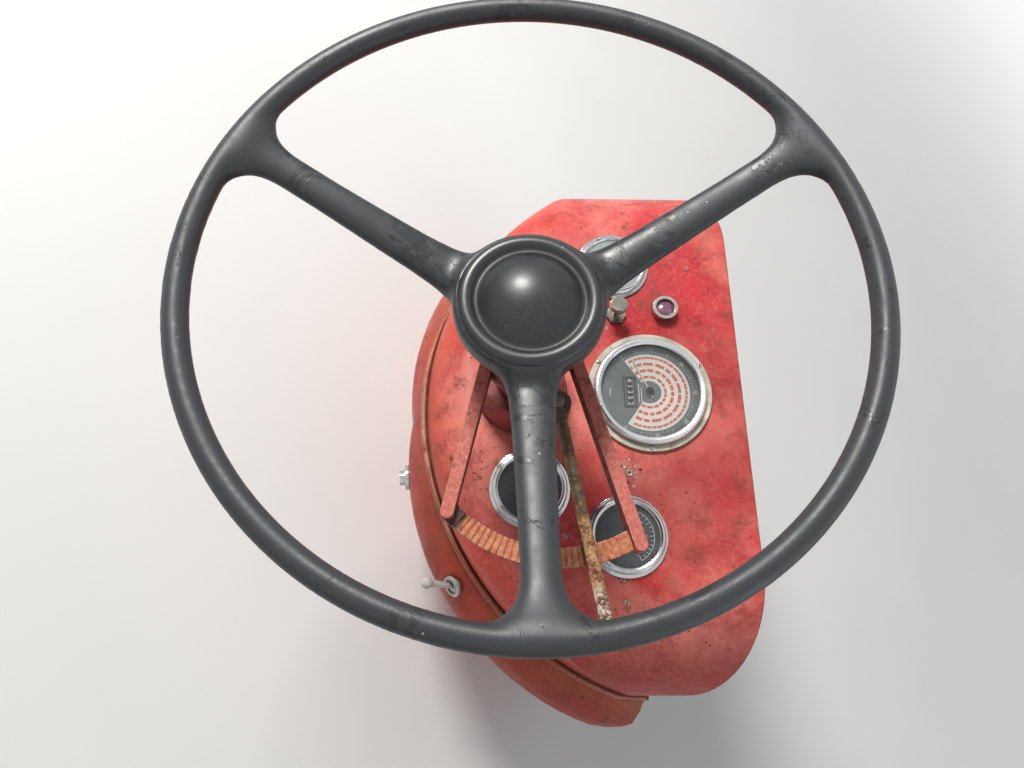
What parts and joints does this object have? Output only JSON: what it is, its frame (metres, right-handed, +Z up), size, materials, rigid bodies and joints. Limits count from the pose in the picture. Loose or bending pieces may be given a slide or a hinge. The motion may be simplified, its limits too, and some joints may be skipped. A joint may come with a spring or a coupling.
{
  "type": "tractor steering console",
  "caption": "Steering console of an old farm tractor: hand wheel, column, hand throttle, gauge cowl and steering box.",
  "frame": {"origin": "centre of the four base bolt holes, on the underside of the steering box, where the column's axis meets the base", "axes": "+X forward on the tractor, +Y to its left, +Z up; the column leans 27 degrees back from +Z"},
  "size_m": [0.4972, 0.536, 0.5332],
  "materials": {
    "cast_grey": "matte",
    "red_paint": "satin",
    "bush": "matte",
    "maroon_paint": "matte",
    "can_metal": "satin",
    "cream_ring": "satin",
    "chrome": "polished",
    "meter_face": "matte",
    "needle_cream": "matte",
    "gauge_glass": "clear",
    "black_dial": "matte",
    "lamp_lens": "clear",
    "dull_metal": "worn",
    "orange_paint": "worn",
    "rusty_rod": "rusty",
    "wheel_rubber": "satin",
    "cap_black": "glossy",
    "bare_steel": "satin"
  },
  "bodies": {
    "console": {"steering_box": "cast_grey", "column_foot": "cast_grey", "column_tube": "red_paint", "column_bush": "bush", "column_collar": "maroon_paint", "cowl_panel": "red_paint", "lower_shroud": "red_paint", "meter_can": "can_metal", "meter_ring": "cream_ring", "meter_bezel": "chrome", "meter_dial": "meter_face", "meter_needle": "needle_cream", "meter_glass": "gauge_glass", "gauge_cans": "can_metal", "gauge_bezels": "chrome", "gauge_dials": "black_dial", "gauge_needles": "needle_cream", "gauge_glasses": "gauge_glass", "lamp_bezel": "chrome", "lamp_lens": "lamp_lens", "pull_switch": "dull_metal", "toggle_switch": "dull_metal", "push_button": "chrome", "throttle_bracket": "orange_paint"},
    "wheel": {"steering_wheel": "wheel_rubber", "hub_cap": "cap_black", "wheel_nut": "dull_metal", "steering_shaft": "bare_steel"},
    "hand_throttle": {"throttle_lever": "rusty_rod", "throttle_shaft": "rusty_rod", "throttle_pawl": "rusty_rod"},
    "cross_shaft": {"cross_shaft": "bare_steel"}
  },
  "joints": [
    {"name": "steering", "type": "hinge", "parent": "console", "child": "wheel", "pos_m": [-0.21973, 0, 0.43125], "axis": [-0.454, 0, 0.891], "range_deg": [-540, 540]},
    {"name": "throttle", "type": "hinge", "parent": "console", "child": "hand_throttle", "pos_m": [-0.15653, -0.05, 0.35346], "axis": [-0.454, 0, 0.891], "range_deg": [-48, 13]},
    {"name": "cross_shaft_turn", "type": "hinge", "parent": "console", "child": "cross_shaft", "pos_m": [0.032, 0, 0.038], "axis": [0, 1, 0], "range_deg": [-36, 36]}
  ],
  "couplings": [
    {"joint": "cross_shaft_turn", "follows": "steering", "ratio": 0.066667}
  ]
}
